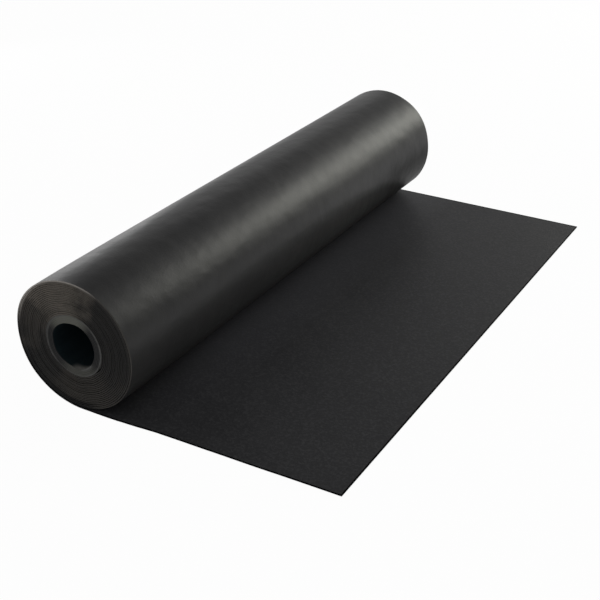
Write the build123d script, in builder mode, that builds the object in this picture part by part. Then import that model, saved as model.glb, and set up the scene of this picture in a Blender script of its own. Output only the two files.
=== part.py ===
# Roll of roofing felt lying on its side, wound on a board core, with its outer end run out flat.
# The felt is one continuous sheet. It leaves the bottom of the roll along +X and lies on the floor.
# Frame: +Y along the roll, +X towards the free end, +Z up, origin on the floor under the part's middle.
# All lengths are in millimetres, and all angles in degrees.
import os
from math import acos, degrees

from build123d import *

# Felt sheet
sheet_width = 1000.0
sheet_thickness = 2.5
run_out_length = 437.7  # flat stretch, from the line under the roll's axis to the free end

# Winding
full_turns = 19  # turns outside the part turn that starts on the core
winding_gap = 0.2  # air between one turn and the next
start_angle = 120.0  # the sheet starts on the core this far past its top, on the run-out's side
start_gap_share = 0.85  # length of the wedge of air beside that start, of the longest it can be

# Grooves between the softened edges of neighbouring turns, at both ends of the roll
turn_groove_width = 0.9
turn_groove_depth = 1.2

# Board core
core_bore = 75.0
core_wall = 13.0
core_recess = 0.5  # the core ends this far inside the sheet's edge
core_chamfer = 0.8

# How far the cutting sections start outside the part
cut_overrun = 1.0

# Each turn is two half circles. The halves on the left, away from the run-out, share one centre. Those
# on the right share another, half a pitch higher, so the sheet moves out by one pitch in each turn.
pitch = sheet_thickness + winding_gap
core_radius = core_bore / 2 + core_wall
left_radius = core_radius + sheet_thickness + full_turns * pitch + pitch / 2
right_radius = left_radius - pitch / 2
left_centre_z = left_radius
right_centre_z = left_radius + pitch / 2
roll_top_z = 2 * left_radius
axis_x = (left_radius - run_out_length) / 2
free_end_x = axis_x + run_out_length
left_axis = Axis((axis_x, 0, left_centre_z), (0, 1, 0))
right_axis = Axis((axis_x, 0, right_centre_z), (0, 1, 0))

# The V section of a groove, in a plane through the roll's axis: across is Y, and up is Z
groove_flare = turn_groove_width / 2 * (turn_groove_depth + cut_overrun) / turn_groove_depth
groove_section = [
    (turn_groove_depth, 0),
    (-cut_overrun, groove_flare),
    (-cut_overrun, -groove_flare),
]
bottom_groove_z = sheet_thickness + winding_gap / 2
top_groove_z = roll_top_z - bottom_groove_z

# The sheet's second turn comes down on to the core over the first one's cut edge.
start_direction = 90 - start_angle
start_gap_angle = start_gap_share * degrees(acos(core_radius / (core_radius + sheet_thickness)))


def groove_sketch(heights):
    """V sections at these heights, at both ends of the roll, in the upright plane through its axis."""
    with BuildSketch(Plane.YZ.offset(axis_x)) as sections:
        with Locations(*[(-sheet_width / 2, height) for height in heights]):
            Polygon(*groove_section, align=None)
        mirror(about=Plane.YZ)
    return sections.sketch


# Sheet of felt: the wound turns, solid between their grooves, and the run-out
with BuildPart() as felt_roll:
    with BuildSketch(Plane.XZ) as outline:
        with BuildLine():
            Line((free_end_x, 0), (axis_x, 0))
            ThreePointArc(
                (axis_x, 0),
                (axis_x - left_radius, left_centre_z),
                (axis_x, roll_top_z),
            )
            ThreePointArc(
                (axis_x, roll_top_z),
                (axis_x + right_radius, right_centre_z),
                (axis_x, pitch),
            )
            Polyline(
                (axis_x, pitch),
                (axis_x, sheet_thickness),
                (free_end_x, sheet_thickness),
                (free_end_x, 0),
            )
        make_face()
        with Locations((axis_x, right_centre_z)):
            Circle(core_radius, mode=Mode.SUBTRACT)
    extrude(amount=sheet_width / 2, both=True)

    # Wedge of air beside the sheet's start on the core
    with BuildSketch(Plane.XZ) as start_gap:
        with BuildLine():
            centre = (axis_x, right_centre_z)
            edge = PolarLine(centre, core_radius + sheet_thickness, start_direction)
            landing = PolarLine(centre, core_radius, start_direction - start_gap_angle)
            Line(edge @ 1, landing @ 1)
        make_face()
    extrude(amount=sheet_width / 2, both=True, mode=Mode.SUBTRACT)

    # Grooves that follow the turns, from the nip under the roll to the sheet's start
    left_heights = [bottom_groove_z + turn * pitch for turn in range(full_turns)]
    right_heights = [top_groove_z - turn * pitch for turn in range(full_turns)]
    revolve(groove_sketch(left_heights), left_axis, 180, mode=Mode.SUBTRACT)
    revolve(groove_sketch(right_heights[:-1]), right_axis, 180, mode=Mode.SUBTRACT)
    revolve(groove_sketch(right_heights[-1:]), right_axis, start_angle, mode=Mode.SUBTRACT)
felt_roll.part.label = "felt_roll"

# Tube that the sheet is wound on
with BuildPart() as core_tube:
    with BuildSketch(Plane.XZ):
        with Locations((axis_x, right_centre_z)):
            Circle(core_radius)
            Circle(core_bore / 2, mode=Mode.SUBTRACT)
    extrude(amount=sheet_width / 2 - core_recess, both=True)
    chamfer(core_tube.edges().filter_by(GeomType.CIRCLE), core_chamfer)
core_tube.part.label = "core_tube"

os.makedirs("parts", exist_ok=True)
export_step(felt_roll.part, "parts/felt_roll.step")
export_step(core_tube.part, "parts/core_tube.step")
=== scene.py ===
import math

import bpy
from mathutils import Matrix, Vector, noise


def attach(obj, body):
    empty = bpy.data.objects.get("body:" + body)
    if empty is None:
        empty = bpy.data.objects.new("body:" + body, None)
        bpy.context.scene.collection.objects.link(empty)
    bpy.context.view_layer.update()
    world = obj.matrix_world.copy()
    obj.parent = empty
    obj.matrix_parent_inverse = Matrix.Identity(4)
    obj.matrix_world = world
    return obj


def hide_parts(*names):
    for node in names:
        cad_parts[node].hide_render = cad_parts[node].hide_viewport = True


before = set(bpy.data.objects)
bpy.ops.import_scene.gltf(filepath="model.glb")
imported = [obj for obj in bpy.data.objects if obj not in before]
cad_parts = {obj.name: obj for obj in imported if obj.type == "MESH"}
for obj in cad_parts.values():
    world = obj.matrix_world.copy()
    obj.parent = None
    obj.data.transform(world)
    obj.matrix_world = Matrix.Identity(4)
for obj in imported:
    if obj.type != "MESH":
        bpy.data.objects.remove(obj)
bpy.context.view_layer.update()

# A roll of roofing felt on its side, with its outer end run out flat on the floor.
# +Y is along the roll, +X towards the sheet's free end and +Z up. Lengths are in metres.

# Sizes repeated from the part's source
THICKNESS = 0.0025
GAP = 0.0002                    # air between turns
WIDTH = 1.0                     # along Y
RUN_OUT = 0.4377                # from the line under the roll's axis to the free end
TURNS = 19
START = 120.0                   # the sheet starts on the core this many degrees past its top
CORE_R = 0.0505
BORE_R = 0.0375
CORE_RECESS = 0.0005            # the core ends this far inside the sheet's edge
PITCH = THICKNESS + GAP
LEFT_R = CORE_R + THICKNESS + TURNS * PITCH + PITCH / 2
RIGHT_R = LEFT_R - PITCH / 2
AXIS_X = (LEFT_R - RUN_OUT) / 2
LEFT_Z = LEFT_R                 # height of the left half circles' centre
AXIS_Z = LEFT_R + PITCH / 2     # height of the core's axis and of the right half circles' centre

# The turns have crept this far along the roll, towards -Y
CREEP = 0.0077


# Camera: the one that fits the photo, with angles in degrees
CAMERA_TARGET = (0.039695, -0.20857, 0.1)
CAMERA_AZIMUTH = 30.0217        # from -Y towards +X
CAMERA_ELEVATION = 28.051
CAMERA_ROLL = 0.0403
CAMERA_DISTANCE = 1.76631
SENSOR_WIDTH = 36.0
FOCAL_SHARE = 1123.504 / 600.0  # focal length, as a share of the picture's width


def add_object(name, data):
    o = bpy.data.objects.new(name, data)
    bpy.context.scene.collection.objects.link(o)
    return o


def compass(azimuth, elevation):
    """Unit vector at this azimuth, from +X towards +Y, and this elevation, both in degrees."""
    a, e = math.radians(azimuth), math.radians(elevation)
    return Vector((math.cos(a) * math.cos(e), math.sin(a) * math.cos(e), math.sin(e)))


def looking(where, at, roll=0.0):
    """Matrix of a camera or lamp that stands at one place and points at another."""
    aim = (Vector(at) - Vector(where)).to_track_quat("-Z", "Y").to_matrix().to_4x4()
    return Matrix.Translation(Vector(where)) @ aim @ Matrix.Rotation(math.radians(roll), 4, "Z")


def make_camera():
    cam = add_object("camera", bpy.data.cameras.new("camera"))
    target = Vector(CAMERA_TARGET)
    where = target + compass(CAMERA_AZIMUTH - 90.0, CAMERA_ELEVATION) * CAMERA_DISTANCE
    cam.matrix_world = looking(where, target, CAMERA_ROLL)
    cam.data.sensor_width = SENSOR_WIDTH
    cam.data.sensor_fit = "HORIZONTAL"
    cam.data.lens = SENSOR_WIDTH * FOCAL_SHARE
    cam.data.clip_end = 200.0
    bpy.context.scene.camera = cam


# Helpers for node trees

def put(t, socket, value):
    """Links a node's output to a socket, or writes a number or a colour on it."""
    if isinstance(value, bpy.types.NodeSocket):
        t.links.new(value, socket)
    elif isinstance(value, tuple):
        socket.default_value = (*value, 1.0)
    else:
        socket.default_value = value


def calc(t, op, a, b=0.0):
    n = t.nodes.new("ShaderNodeMath")
    n.operation = op
    put(t, n.inputs[0], a)
    put(t, n.inputs[1], b)
    return n.outputs[0]


def plus(t, a, b):
    return calc(t, "ADD", a, b)


def times(t, a, b):
    return calc(t, "MULTIPLY", a, b)


def larger(t, a, b):
    return calc(t, "MAXIMUM", a, b)


def noise_tex(t, scale, detail, rough):
    """Noise that is finer with a larger scale, which is one number, or three for X, Y and Z."""
    place = t.nodes.new("ShaderNodeTexCoord").outputs["Object"]
    n = t.nodes.new("ShaderNodeTexNoise")
    if isinstance(scale, tuple):
        stretch = t.nodes.new("ShaderNodeMapping")
        stretch.inputs["Scale"].default_value = scale
        t.links.new(place, stretch.inputs["Vector"])
        place, scale = stretch.outputs[0], 1.0
    n.inputs["Scale"].default_value = scale
    n.inputs["Detail"].default_value = detail
    n.inputs["Roughness"].default_value = rough
    t.links.new(place, n.inputs["Vector"])
    return n.outputs["Fac"]


def ramp(t, value, lo, hi, out_lo=0.0, out_hi=1.0, smooth_step=False):
    """From out_lo where the value is lo to out_hi where it is hi, and no further."""
    n = t.nodes.new("ShaderNodeMapRange")
    n.inputs["From Min"].default_value = lo
    n.inputs["From Max"].default_value = hi
    n.inputs["To Min"].default_value = out_lo
    n.inputs["To Max"].default_value = out_hi
    if smooth_step:
        n.interpolation_type = "SMOOTHSTEP"
    t.links.new(value, n.inputs["Value"])
    return n.outputs["Result"]


def mix_colour(t, share, a, b):
    n = t.nodes.new("ShaderNodeMix")
    n.data_type = "RGBA"
    put(t, n.inputs[0], share)
    put(t, n.inputs[6], a)
    put(t, n.inputs[7], b)
    return n.outputs[2]


def bump(t, height, distance, strength, normal=None):
    n = t.nodes.new("ShaderNodeBump")
    n.inputs["Distance"].default_value = distance
    n.inputs["Strength"].default_value = strength
    t.links.new(height, n.inputs["Height"])
    if normal is not None:
        t.links.new(normal, n.inputs["Normal"])
    return n.outputs[0]


def place_of(t):
    """The point's X, Y and Z."""
    sep = t.nodes.new("ShaderNodeSeparateXYZ")
    t.links.new(t.nodes.new("ShaderNodeTexCoord").outputs["Object"], sep.inputs[0])
    return sep.outputs["X"], sep.outputs["Y"], sep.outputs["Z"]


def round_axis(t):
    """The point's direction from the roll's axis, in radians from +X, and its distance from it, squared."""
    x, _, z = place_of(t)
    x = calc(t, "SUBTRACT", x, AXIS_X)
    z = calc(t, "SUBTRACT", z, AXIS_Z)
    return calc(t, "ARCTAN2", z, x), plus(t, times(t, x, x), times(t, z, z))


def lobe(t, turn, centre, lo, hi, top=1.0):
    """From 0 to top as the direction nears the centre, in degrees: lo and hi are cosines of their angle."""
    off = calc(t, "COSINE", calc(t, "SUBTRACT", turn, math.radians(centre)))
    return ramp(t, off, lo, hi, 0.0, top, smooth_step=True)


def band(t, squared, r0, r1):
    """0 at radius r0 and 1 at radius r1, from the squared distance."""
    if r0 < r1:
        return ramp(t, squared, r0 ** 2, r1 ** 2)
    return ramp(t, squared, r1 ** 2, r0 ** 2, 1.0, 0.0)


def seen_by(t, *rays):
    """1 for these kinds of ray, and 0 for the rest."""
    path = t.nodes.new("ShaderNodeLightPath")
    seen = path.outputs[rays[0]]
    for ray in rays[1:]:
        seen = larger(t, seen, path.outputs[ray])
    return seen


def new_material(name):
    m = bpy.data.materials.new(name)
    m.use_nodes = True
    t = m.node_tree
    t.nodes.clear()
    return m, t, t.nodes.new("ShaderNodeOutputMaterial")


def set_surface(t, out, colour, roughness, specular, normal=None):
    bsdf = t.nodes.new("ShaderNodeBsdfPrincipled")
    put(t, bsdf.inputs["Base Color"], colour)
    put(t, bsdf.inputs["Roughness"], roughness)
    put(t, bsdf.inputs["Specular IOR Level"], specular)
    if normal is not None:
        put(t, bsdf.inputs["Normal"], normal)
    t.links.new(bsdf.outputs[0], out.inputs["Surface"])


# Materials, with linear colours. A pair is a dark and a light one, mixed by noise.

FELT_OUTER = (0.0213, 0.0212, 0.0221), (0.0284, 0.0280, 0.0284)
FELT_INNER = (0.0192, 0.0192, 0.0215), (0.0255, 0.0255, 0.0279)
# painted light on the run-out by the roll
FELT_INNER_PAINTED_LIGHT = (0.0480, 0.0480, 0.0540)
FELT_INNER_GRIT = (0.0900, 0.0900, 0.0940)
FELT_EDGE = (0.0072, 0.0069, 0.0067), (0.0136, 0.0129, 0.0122)
# painted highlight on the roll's ends
FELT_EDGE_PAINTED_HIGHLIGHT = (0.1020, 0.0910, 0.0780)
# painted highlight on the outermost turn's corner
FELT_EDGE_PAINTED_RIM_HIGHLIGHT = (0.3500, 0.3270, 0.3030)
# painted shade low on the left of the roll's ends
FELT_EDGE_PAINTED_SHADE = (0.0015, 0.0015, 0.0016)
FELT_EDGE_NEAR_BLACK = (0.0010, 0.0010, 0.0011)
BOARD = (0.0038, 0.0038, 0.0040), (0.0074, 0.0074, 0.0077)
# painted highlight on the core's ends
BOARD_PAINTED_HIGHLIGHT = (0.1050, 0.1060, 0.0920)
# painted highlight on the core's outer rim, and the colour of a chip
BOARD_RIM_HIGHLIGHT_AND_CHIP = (0.0760, 0.0760, 0.0740)
# near black inside the bore: painted shade
BORE_PAINTED_SHADE = (0.0028, 0.0066, 0.0084), (0.0050, 0.0100, 0.0122)
# dust in the bore, and painted light
BORE_DUST_AND_PAINTED_LIGHT = (0.1150, 0.1120, 0.1050)


def grain(t):
    """The fine grain of both faces of the felt."""
    return noise_tex(t, 240.0, 2.0, 0.6)


def felt_outer():
    """The face that is outermost on the roll: smooth, satin bitumen."""
    m, t, out = new_material("felt_outer_face")
    wide = noise_tex(t, (3, 7, 3), 3.0, 0.55)
    streak = noise_tex(t, (4, 160, 4), 3.0, 0.6)
    fine = noise_tex(t, 700.0, 2.0, 0.6)
    colour = mix_colour(t, ramp(t, wide, 0.35, 0.65), *FELT_OUTER)
    roughness = ramp(t, plus(t, wide, streak), 0.7, 1.3, 0.35, 0.42)
    # the turns below and the way it was handled leave faint dents
    dents = noise_tex(t, (42, 30, 42), 1.0, 0.4)
    normal = bump(t, grain(t), 0.00030, 0.5, bump(t, dents, 0.0017, 0.5))
    normal = bump(t, fine, 0.00012, 0.35, normal)
    # the far end's low right side is dull with dust
    turn, _ = round_axis(t)
    _, y, _ = place_of(t)
    dull = times(t, lobe(t, turn, -38, 0.45, 0.85), ramp(t, y, 0.16, 0.34))
    set_surface(t, out, colour, roughness, ramp(t, dull, 0.0, 1.0, 0.27, 0.03), normal)
    return m


def felt_inner():
    """The face that is on top of the run-out: matt."""
    m, t, out = new_material("felt_inner_face")
    wide = noise_tex(t, (6, 6, 6), 4.0, 0.6)
    mottle = noise_tex(t, 55.0, 4.0, 0.6)
    fine = noise_tex(t, 900.0, 2.0, 0.6)
    tone = plus(t, wide, times(t, mottle, 0.5))
    colour = mix_colour(t, ramp(t, tone, 0.5, 1.0), *FELT_INNER)
    # the run-out by the roll, but for its near end, is made lighter: painted light that fills in the roll's
    # shadow there
    x, y, _ = place_of(t)
    near_roll = ramp(t, x, AXIS_X + 0.05, AXIS_X + 0.18, 1.0, 0.0)
    painted_light_by_roll = times(t, near_roll, ramp(t, y, -0.48, -0.24))
    colour = mix_colour(t, painted_light_by_roll, colour, FELT_INNER_PAINTED_LIGHT)
    grit = grain(t)
    colour = mix_colour(t, ramp(t, grit, 0.46, 0.70, 0.0, 0.22), colour, FELT_INNER_GRIT)
    normal = bump(t, plus(t, fine, mottle), 0.0003, 0.4, bump(t, grit, 0.00040, 0.5))
    set_surface(t, out, colour, ramp(t, tone, 0.5, 1.0, 0.42, 0.52), 0.17, normal)
    return m


def felt_edge():
    """The cut edges: fibre and bitumen, with a painted highlight mostly on the upper part of the roll's
    ends, where the edges of the turns catch the light.
    """
    m, t, out = new_material("felt_cut_edge")
    patch = noise_tex(t, 90.0, 4.0, 0.65)
    fine = noise_tex(t, 1500.0, 3.0, 0.6)
    colour = mix_colour(t, ramp(t, patch, 0.35, 0.65), *FELT_EDGE)
    turn, squared = round_axis(t)
    # the painted highlight has no straight border
    drift = ramp(t, noise_tex(t, (16, 1, 16), 3.0, 0.6), 0.30, 0.70, -0.30, 0.30)
    strayed = plus(t, turn, drift)
    # painted highlight: lighter at the top of the ends, and a little at the bottom and on the left, where
    # the turns' edges catch the light
    dust_and_painted_light = larger(t, lobe(t, strayed, 112, 0.68, 1.0), lobe(t, strayed, -78, 0.50, 0.98, 0.20))
    dust_and_painted_light = larger(t, dust_and_painted_light, lobe(t, strayed, 148, 0.70, 1.0, 0.27))
    dust_and_painted_light = times(t, dust_and_painted_light, ramp(t, patch, 0.30, 0.70, 0.75, 1.15))
    colour = mix_colour(t, dust_and_painted_light, colour, FELT_EDGE_PAINTED_HIGHLIGHT)
    # the outermost turn's corner has a painted highlight along the top, where it catches the light, and
    # painted shade low on the left, next to the floor
    rim_highlight = larger(t, lobe(t, turn, 116, 0.45, 0.97), lobe(t, turn, 35, 0.25, 0.90, 0.13))
    rim_highlight = times(t, rim_highlight, band(t, squared, LEFT_R - 0.0058, LEFT_R - 0.0020))
    colour = mix_colour(t, rim_highlight, colour, FELT_EDGE_PAINTED_RIM_HIGHLIGHT)
    painted_shade_low_left = lobe(t, turn, -114, 0.64, 0.88)
    painted_shade_low_left = times(t, painted_shade_low_left, band(t, squared, LEFT_R - 0.0135, LEFT_R - 0.0095))
    colour = mix_colour(t, painted_shade_low_left, colour, FELT_EDGE_PAINTED_SHADE)
    # the edges of the run-out are near black
    near_black_edge = band(t, squared, LEFT_R + 0.0030, LEFT_R + 0.0060)
    colour = mix_colour(t, near_black_edge, colour, FELT_EDGE_NEAR_BLACK)
    specular = ramp(t, near_black_edge, 0.0, 1.0, 0.10, 0.02)
    roughness = ramp(t, patch, 0.35, 0.65, 0.42, 0.56)
    set_surface(t, out, colour, roughness, specular, bump(t, fine, 0.0002, 0.5))
    return m


def board_end():
    """The core's ends and outside: wound board, with painted highlights at the top and bottom of its ends
    and along their outer rim, where these catch the light.
    """
    m, t, out = new_material("core_board")
    fibre = noise_tex(t, (300, 120, 300), 4.0, 0.65)
    patch = noise_tex(t, 45.0, 3.0, 0.6)
    tone = plus(t, times(t, fibre, 0.6), times(t, patch, 0.4))
    colour = mix_colour(t, ramp(t, tone, 0.35, 0.65), *BOARD)
    turn, squared = round_axis(t)
    # painted highlight: lighter at the top and bottom of the ends, where the board's rings catch the light
    dust_and_painted_light = larger(t, lobe(t, turn, 100, 0.50, 1.0), lobe(t, turn, -80, 0.60, 1.0, 0.45))
    colour = mix_colour(t, dust_and_painted_light, colour, BOARD_PAINTED_HIGHLIGHT)
    # painted highlight along the outer rim of the ends, where its rounded corner catches the light
    rim_highlight = band(t, squared, CORE_R - 0.0034, CORE_R - 0.0016)
    rim_highlight = times(t, rim_highlight, ramp(t, patch, 0.35, 0.65, 0.35, 1.0))
    # a chip in the inner rim, low on the right
    chip = times(t, lobe(t, turn, -57, 0.93, 0.985), band(t, squared, BORE_R + 0.0042, BORE_R + 0.0022))
    colour = mix_colour(t, larger(t, rim_highlight, chip), colour, BOARD_RIM_HIGHLIGHT_AND_CHIP)
    set_surface(t, out, colour, 0.6, 0.15, bump(t, fibre, 0.0002, 0.4))
    return m


def board_inside():
    """The wall of the bore: board, made near black as painted shade of the bore's inside."""
    m, t, out = new_material("core_inside")
    patch = noise_tex(t, (60, 8, 60), 3.0, 0.6)
    # near black: painted shade inside the bore
    colour = mix_colour(t, ramp(t, patch, 0.35, 0.65), *BORE_PAINTED_SHADE)
    # dust has fallen into the bottom of its ends, and this lighter patch is also painted light, where light
    # falls into the bore
    turn, _ = round_axis(t)
    _, y, _ = place_of(t)
    from_middle = calc(t, "ABSOLUTE", plus(t, y, CREEP))
    dust_and_painted_light = times(t, lobe(t, turn, -68, 0.78, 0.98), ramp(t, from_middle, 0.4860, 0.4960))
    set_surface(t, out, mix_colour(t, dust_and_painted_light, colour, BORE_DUST_AND_PAINTED_LIGHT), 0.8, 0.1)
    return m


# How the roll lies, which differs a little from its nominal shape. These tables are in mm.

# How far the roll stands out from its nominal round, by the direction in degrees from +X
OUT_NEAR = ((-90, 0.0), (-60, 0.0), (60, 0.0), (90, -1.2), (103, -1.3), (119, -0.4), (135, 0.6), (151, 1.7),
            (163, 1.9), (180, 1.1), (200, 1.1), (215, 1.0), (230, -0.1), (245, -0.7), (256, -0.8),
            (265, -0.4), (270, 0.0))
OUT_MIDDLE = ((-90, 0.0), (-75, 0.8), (-60, 2.2), (-40, 2.8), (-10, 1.8), (20, 1.2), (60, 1.1), (125, 1.3),
              (180, 0.9), (230, 0.2), (250, 0.0), (270, 0.0))
OUT_FAR = ((-90, 0.0), (-75, 1.2), (-60, 3.2), (-40, 3.9), (-25, 3.3), (-10, 2.4), (10, 1.4), (42, 3.3),
           (66, 2.3), (90, 2.6), (125, 1.8), (180, 0.8), (230, 0.0), (250, 0.0), (270, 0.0))
NEAR_FADE, FAR_FADE = 0.05, 0.15    # in metres: over this, an end's share falls to about a third

# How far the run-out's near edge lies towards +Y from its nominal line, by the distance from the axis
RUN_OUT_EDGE = ((0, -7.8), (60, -7.9), (74, -7.0), (92, -6.2), (110, -5.3), (126, -3.6), (144, -3.2),
                (178, -2.5), (212, -2.3), (246, -1.7), (279, -1.5), (311, -1.1), (343, -0.3), (374, 0.2),
                (405, 0.6), (437.7, 1.0))


def smooth(value, lo, hi):
    """0 below lo, 1 above hi, and a smooth step between."""
    f = min(1.0, max(0.0, (value - lo) / (hi - lo)))
    return f * f * (3 - 2 * f)


def on_curve(table, place):
    """The value at this place, on a smooth curve through a table of (place, value) pairs."""
    place = min(table[-1][0], max(table[0][0], place))
    table = (table[0], *table, table[-1])
    for (p0, v0), (p1, v1), (p2, v2), (p3, v3) in zip(table, table[1:], table[2:], table[3:]):
        if place <= p2:
            f = (place - p1) / (p2 - p1)
            slope1 = (v2 - v0) / (p2 - p0) * (p2 - p1)
            slope2 = (v3 - v1) / (p3 - p1) * (p2 - p1)
            return ((2 * f ** 3 - 3 * f * f + 1) * v1 + (f ** 3 - 2 * f * f + f) * slope1
                    + (3 * f * f - 2 * f ** 3) * v2 + (f ** 3 - f * f) * slope2)


# The three tables in metres, at each whole degree from -90 on
OUTS = [[0.001 * on_curve(table, degree - 90) for degree in range(361)]
        for table in (OUT_NEAR, OUT_MIDDLE, OUT_FAR)]


def settle(x, y, z):
    """Moves a point from its place on the nominal roll to where it lies on the real, uneven one."""
    dx, dz = x - AXIS_X, z - AXIS_Z
    near = math.exp(-max(0.0, y + WIDTH / 2) / NEAR_FADE)
    far = math.exp((y - WIDTH / 2) / FAR_FADE)
    degree = (math.degrees(math.atan2(dz, dx)) + 90.0) % 360.0
    i = min(359, int(degree))
    at_near, midway, at_far = (out[i] + (out[i + 1] - out[i]) * (degree - i) for out in OUTS)
    share = (near * at_near + far * at_far + (1 - near - far) * midway) / math.hypot(dx, dz)
    return x + share * dx, z + share * dz


def edge_setback(length, u, near):
    """How far the sheet's near or far edge stands back from its nominal width, at turn u."""
    side = 1.0 if near else 2.0
    uneven = (0.0007
              + 0.0008 * noise.noise(Vector((length * 0.9, 17.3 * side, 4.1)))
              + 0.0003 * noise.noise(Vector((length * 6.0, 3.7 * side, 9.1)))
              + 0.0007 * noise.noise(Vector((u * 2.3, 1.7 * side, 2.6))))
    uneven = max(0.0, smooth(u, 0.05, 1.0) * uneven)
    if near:
        return uneven + 0.001 * on_curve(RUN_OUT_EDGE, 1000 * (RUN_OUT - length))
    return uneven + CREEP * smooth(u, 0.9, 4.0)


# The felt: one sheet, wound up

START_DIRECTION = 90.0 - START  # of the sheet's start, in degrees from +X
LANDING_ANGLE = 16.0            # past its start, the next turn comes down on to the core within this
PULL_FROM, PULL_OVER = 0.5, 19.3    # the turns are drawn in from this one on, in full after so many more

# Steps along the sheet
STEPS_PER_TURN = 72
STEPS_PER_OUTER_TURN = 144
OUTER_TURNS = 1.125             # those that show, with finer steps and rows
FREE_END_STEPS = [0.0, 0.00015, 0.00045, 0.0011, 0.002, 0.004, 0.008]
RUN_OUT_STEPS = 26
EDGE_STRIPS = 4                 # so many steps at the free end have the cut edge's material

EDGE_R = 0.0010                 # radius of the softened corners of the cut edges
# Points round such a corner: (from the edge, above the corner's foot)
CORNER_ANGLES = [math.radians(a) for a in (90, 60, 30, 0)]
CORNER = [(EDGE_R * (1 - math.cos(a)), EDGE_R * math.sin(a)) for a in CORNER_ANGLES]
# Rows of points across the sheet, by their distance from each edge, and more that fine stations have
ROWS_BY_EDGE = [0.0013, 0.004, 0.012, 0.03, 0.065, 0.13, 0.28]
FINE_ROWS_BY_EDGE = [0.02, 0.045, 0.09] + [0.04 * i for i in range(4, 13)]

OUTER_FACE, INNER_FACE, CUT_EDGE = 0, 1, 2      # material slots


def stand_off(direction):
    """How far the nominal spiral's innermost turn stands off the core, in this direction in radians."""
    if direction <= math.pi / 2:
        return PITCH * smooth(START_DIRECTION - math.degrees(direction), 0.0, LANDING_ANGLE)
    # on the left it is a circle about a centre half a pitch lower
    drop = PITCH / 2
    radius = CORE_R + drop
    s, c = math.sin(direction), math.cos(direction)
    return math.sqrt(radius ** 2 - (drop * c) ** 2) - drop * s - CORE_R


def stations():
    """Stations along the sheet, from its free end: (length, x, z, outward nx, outward nz, turn, fine)."""
    found = []
    flat = FREE_END_STEPS + [RUN_OUT * i / RUN_OUT_STEPS for i in range(1, RUN_OUT_STEPS)]
    for s in flat:
        found.append((s, AXIS_X + RUN_OUT - s, THICKNESS / 2, 0.0, -1.0, -1.0, True))
    u_end = TURNS + (180.0 + START) / 360.0
    turns = [i / STEPS_PER_OUTER_TURN for i in range(int(OUTER_TURNS * STEPS_PER_OUTER_TURN) + 1)]
    first, last = int(OUTER_TURNS * STEPS_PER_TURN) + 1, round(u_end * STEPS_PER_TURN)
    turns += [i / STEPS_PER_TURN for i in range(first, last)] + [u_end]
    length, before = RUN_OUT, None
    for u in turns:
        turn = int(u)
        part = u - turn
        if part < 0.5:      # left half, from the bottom by -X to the top
            radius = LEFT_R - turn * PITCH - THICKNESS / 2
            theta = -math.pi / 2 - 2 * math.pi * part
            centre_z = LEFT_Z
        else:               # right half, from the top by +X to the bottom
            radius = RIGHT_R - turn * PITCH - THICKNESS / 2
            theta = math.pi / 2 - 2 * math.pi * (part - 0.5)
            centre_z = AXIS_Z
        nx, nz = math.cos(theta), math.sin(theta)
        x, z = AXIS_X + radius * nx, centre_z + radius * nz
        # the turns are drawn in towards the core, the inner ones more
        if u > PULL_FROM:
            dx, dz = x - AXIS_X, z - AXIS_Z
            direction = math.atan2(dz, dx)
            if direction < -math.pi / 2 - 1e-9:
                direction += 2 * math.pi
            pull = stand_off(direction) * min(1.0, (u - PULL_FROM) / PULL_OVER) / math.hypot(dx, dz)
            x -= dx * pull
            z -= dz * pull
        if before is not None:
            length += math.hypot(x - before[0], z - before[1])
        before = (x, z)
        found.append((length, x, z, nx, nz, u, u <= OUTER_TURNS + 1e-9))
    return found


def section(station, total, rows):
    """Points round the sheet's section at a station, from the near edge along the outer face and back."""
    length, x, z, nx, nz, u, _ = station
    half = THICKNESS / 2
    # the free end and the start are softened cut edges too
    to_end = min(length, total - length)
    if to_end < EDGE_R:
        half = half - EDGE_R + math.sqrt(max(0.0, EDGE_R ** 2 - (EDGE_R - to_end) ** 2))
    y0 = -WIDTH / 2 + edge_setback(length, u, True)
    y1 = WIDTH / 2 - edge_setback(length, u, False)
    foot = max(half - EDGE_R, 0.0001)
    squash = (half - foot) / EDGE_R
    up_near = [(y0 + d, foot + up * squash) for d, up in reversed(CORNER)]
    up_far = [(y1 - d, foot + up * squash) for d, up in CORNER]
    across = [y0 + row / WIDTH * (y1 - y0) for row in rows]
    outer = up_near + [(y, half) for y in across] + up_far
    points = []
    for y, off in outer + [(y, -off) for y, off in reversed(outer)]:
        px, pz = x + nx * off, z + nz * off
        if u > 0.0:
            px, pz = settle(px, y, pz)
        points.append((px, y, pz))
    return points


def strip_slots(n_rows):
    """Material slot of each strip round the section."""
    edge = [CUT_EDGE] * (len(CORNER) - 1)
    outer = [OUTER_FACE] * (n_rows + 1)
    # next to the edges the inner face has their near black, and along the far edge more of it
    inner = [CUT_EDGE] * 2 + [INNER_FACE] * (n_rows - 2) + [CUT_EDGE]
    return edge + outer + edge + [CUT_EDGE] + edge + inner + edge + [CUT_EDGE]


def add_mesh(name, verts, faces, slots, materials):
    mesh = bpy.data.meshes.new(name)
    mesh.from_pydata(verts, [], faces)
    mesh.polygons.foreach_set("material_index", slots)
    mesh.polygons.foreach_set("use_smooth", [True] * len(faces))
    mesh.update()
    mesh.validate()
    for m in materials:
        mesh.materials.append(m)
    return add_object(name, mesh)


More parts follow.
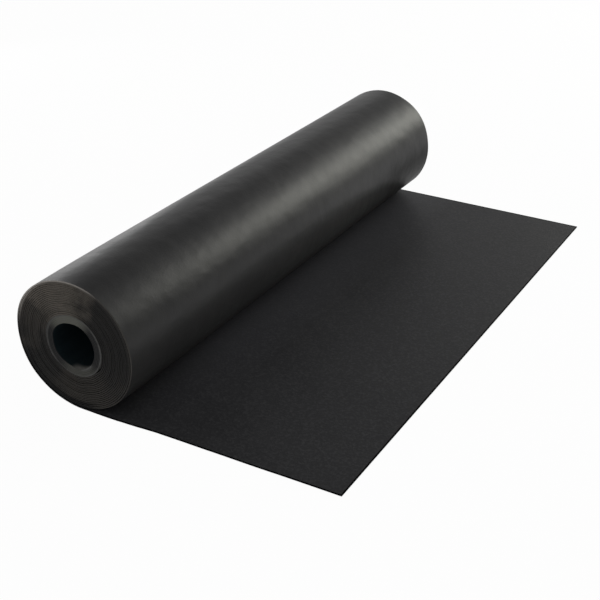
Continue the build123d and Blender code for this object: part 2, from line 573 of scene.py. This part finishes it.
def build_sheet():
    rows = sorted(ROWS_BY_EDGE + [WIDTH / 2] + [WIDTH - v for v in ROWS_BY_EDGE])
    fine_rows = rows + FINE_ROWS_BY_EDGE + [WIDTH - v for v in FINE_ROWS_BY_EDGE]
    fine_rows = sorted({round(v, 6) for v in fine_rows})
    kept = [fine_rows.index(round(v, 6)) for v in rows]
    n_fine, n_corner = len(fine_rows), len(CORNER)

    # where the fine rows end, the points of a fine section that the next, coarse one goes on from
    back = 3 * n_corner + n_fine
    thinned = list(range(n_corner))
    thinned += [n_corner + k for k in kept]
    thinned += range(n_corner + n_fine, back)
    thinned += [back + n_fine - 1 - k for k in reversed(kept)]
    thinned += range(back + n_fine, back + n_fine + n_corner)

    found = stations()
    total = found[-1][0]
    verts, loops = [], []
    for station in found:
        fine = station[-1]
        points = section(station, total, fine_rows if fine else rows)
        loops.append((range(len(verts), len(verts) + len(points)), fine))
        verts += points

    faces, slots = [], []
    for step, ((a, a_fine), (b, b_fine)) in enumerate(zip(loops, loops[1:])):
        n = len(b)
        kinds = strip_slots(n_fine if b_fine else len(rows))
        if step < EDGE_STRIPS:
            kinds = [CUT_EDGE] * n
        for i in range(n):
            j = (i + 1) % n
            if a_fine == b_fine:
                faces.append((a[i], b[i], b[j], a[j]))
            else:
                first, last = thinned[i], thinned[j]
                between = range(last, first - 1, -1) if last > first else (last, first)
                faces.append((*(a[k] for k in between), b[i], b[j]))
            slots.append(kinds[i])
    # close both cut ends
    for ring, order in ((loops[0][0], 1), (loops[-1][0], -1)):
        n = len(ring)
        for i in range(n // 2 - 1):
            faces.append((ring[i], ring[i + 1], ring[n - 2 - i], ring[n - 1 - i])[::order])
            slots.append(CUT_EDGE)
    sheet = add_mesh("felt_sheet", verts, faces, slots, (felt_outer(), felt_inner(), felt_edge()))
    return sheet, total


# The board core

CORE_SIDES = 128
PLIES = 5                       # their seams show on the ends as fine grooves
SEAM_HALF_WIDTH, SEAM_DEPTH, SEAM_RIM = 0.00022, 0.0004, 0.00005
CORE_EDGE_R = 0.0006
CORNER_MIDDLE = 0.3             # share of the radius by which a softened corner's middle stands back
CORE_CLEARANCE = 0.00005        # between its outside and the felt
CORE_RINGS = (0.0, 0.22, 0.37, 0.435, 0.47, 0.488)      # places of the wall's edges, from the middle
BOARD_SLOT, BORE_SLOT = 0, 1    # material slots


def core_end():
    """(radius, distance from the middle) of the points across one end, from the bore outwards."""
    y_end = WIDTH / 2 - CORE_RECESS
    r, middle = CORE_EDGE_R, CORE_EDGE_R * CORNER_MIDDLE
    points = [(BORE_R, y_end - r), (BORE_R + middle, y_end - middle), (BORE_R + r, y_end)]
    for k in range(1, PLIES):
        seam = BORE_R + (CORE_R - BORE_R) * k / PLIES
        points.append((seam - SEAM_HALF_WIDTH, y_end - SEAM_RIM))
        points.append((seam, y_end - SEAM_DEPTH))
        points.append((seam + SEAM_HALF_WIDTH, y_end - SEAM_RIM))
    points += [(CORE_R - r, y_end), (CORE_R - middle, y_end - middle), (CORE_R - CORE_CLEARANCE, y_end - r)]
    return points


def build_core():
    places = sorted({-y for y in CORE_RINGS} | set(CORE_RINGS))
    inside = [(BORE_R, y) for y in places]
    outside = [(CORE_R - CORE_CLEARANCE, y) for y in reversed(places)]
    far = core_end()
    near = [(r, -y) for r, y in reversed(far)]
    profile = inside + far + outside + near
    n = len(profile)
    verts, faces, slots = [], [], []
    for i in range(CORE_SIDES):
        a = 2 * math.pi * i / CORE_SIDES
        for r, y in profile:
            x, z = settle(AXIS_X + r * math.cos(a), y - CREEP, AXIS_Z + r * math.sin(a))
            verts.append((x, y - CREEP, z))
    for i in range(CORE_SIDES):
        k = (i + 1) % CORE_SIDES
        for j in range(n):
            following = (j + 1) % n
            faces.append((i * n + j, i * n + following, k * n + following, k * n + j))
            slots.append(BORE_SLOT if j < len(inside) or j == n - 1 else BOARD_SLOT)
    return add_mesh("core_board", verts, faces, slots, (board_end(), board_inside()))


# Stage and light

FLOOR_HALF = 60.0
FLOOR_Z = -0.0003
FLOOR_COLOUR = (0.88, 0.88, 0.88)
FLOOR_WHITE = 0.97      # share of plain white in what camera, glossy and transmission rays see of the floor
WHITE = (1.0, 1.0, 1.0)
LAMP_WARM = (1.0, 1.0, 0.90)
SOFTBOX_AIM = (-0.1, 0.1, 0.15)

# Round patches of sky: (azimuth from +X towards +Y, elevation, half width, strength), with angles in degrees
SKY = ((90, 8, 45, 0.54), (270, 8, 45, 0.69), (180, 38, 45, 0.26), (300, 38, 45, 1.12), (131, 20, 24, 0.60),
       (65, 29, 27, 0.74), (0, 8, 45, 0.08), (0, 90, 50, 0.30))


def build_floor():
    h, z = FLOOR_HALF, FLOOR_Z
    m, t, out = new_material("floor_white")
    diffuse = t.nodes.new("ShaderNodeBsdfDiffuse")
    put(t, diffuse.inputs["Color"], FLOOR_COLOUR)
    white = t.nodes.new("ShaderNodeEmission")
    put(t, white.inputs["Color"], WHITE)
    mix = t.nodes.new("ShaderNodeMixShader")
    seen = seen_by(t, "Is Camera Ray", "Is Glossy Ray", "Is Transmission Ray")
    put(t, mix.inputs[0], times(t, seen, FLOOR_WHITE))
    t.links.new(diffuse.outputs[0], mix.inputs[1])
    t.links.new(white.outputs[0], mix.inputs[2])
    t.links.new(mix.outputs[0], out.inputs["Surface"])
    add_mesh("floor", [(-h, -h, z), (h, -h, z), (h, h, z), (-h, h, z)], [(0, 1, 2, 3)], [0], (m,))


def build_world():
    w = bpy.data.worlds.new("studio")
    bpy.context.scene.world = w
    w.use_nodes = True
    t = w.node_tree
    t.nodes.clear()
    out = t.nodes.new("ShaderNodeOutputWorld")
    background = t.nodes.new("ShaderNodeBackground")
    put(t, background.inputs["Color"], WHITE)
    direction = t.nodes.new("ShaderNodeTexCoord").outputs["Generated"]
    light = 0.0
    for azimuth, elevation, half_width, strength in SKY:
        dot = t.nodes.new("ShaderNodeVectorMath")
        dot.operation = "DOT_PRODUCT"
        t.links.new(direction, dot.inputs[0])
        dot.inputs[1].default_value = compass(azimuth, elevation)
        edge = math.cos(math.radians(half_width))
        light = plus(t, ramp(t, dot.outputs["Value"], edge, 1.0, 0.0, strength, smooth_step=True), light)
    # Seen past the floor's edge, it is white. Glossy rays see the patches, as part of the light on the felt.
    seen = seen_by(t, "Is Camera Ray", "Is Transmission Ray")
    put(t, background.inputs["Strength"], larger(t, light, seen))
    t.links.new(background.outputs[0], out.inputs["Surface"])


def add_lamp(name, where, at, size, power, colour=WHITE):
    lamp = bpy.data.lights.new(name, "AREA")
    lamp.shape = "RECTANGLE"
    lamp.size, lamp.size_y = size
    lamp.energy = power
    lamp.color = colour
    add_object(name, lamp).matrix_world = looking(where, at)


def build_lamps():
    add_lamp("back_softbox", (1.25, 2.15, 1.35), SOFTBOX_AIM, (1.1, 1.1), 13.0, LAMP_WARM)
    add_lamp("low_softbox", (0.55, 2.75, 0.85), SOFTBOX_AIM, (1.1, 1.1), 14.6, LAMP_WARM)
    add_lamp("left_softbox", (-1.75, 0.86, 0.42), (-0.15, -0.5, 0.18), (0.6, 0.5), 2.0)


make_camera()
sheet, sheet_length = build_sheet()
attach(sheet, "root")
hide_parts("felt_roll")
core = build_core()
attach(core, "root")
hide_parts("core_tube")
build_floor()
build_world()
build_lamps()

bpy.context.scene.view_settings.view_transform = "Standard"
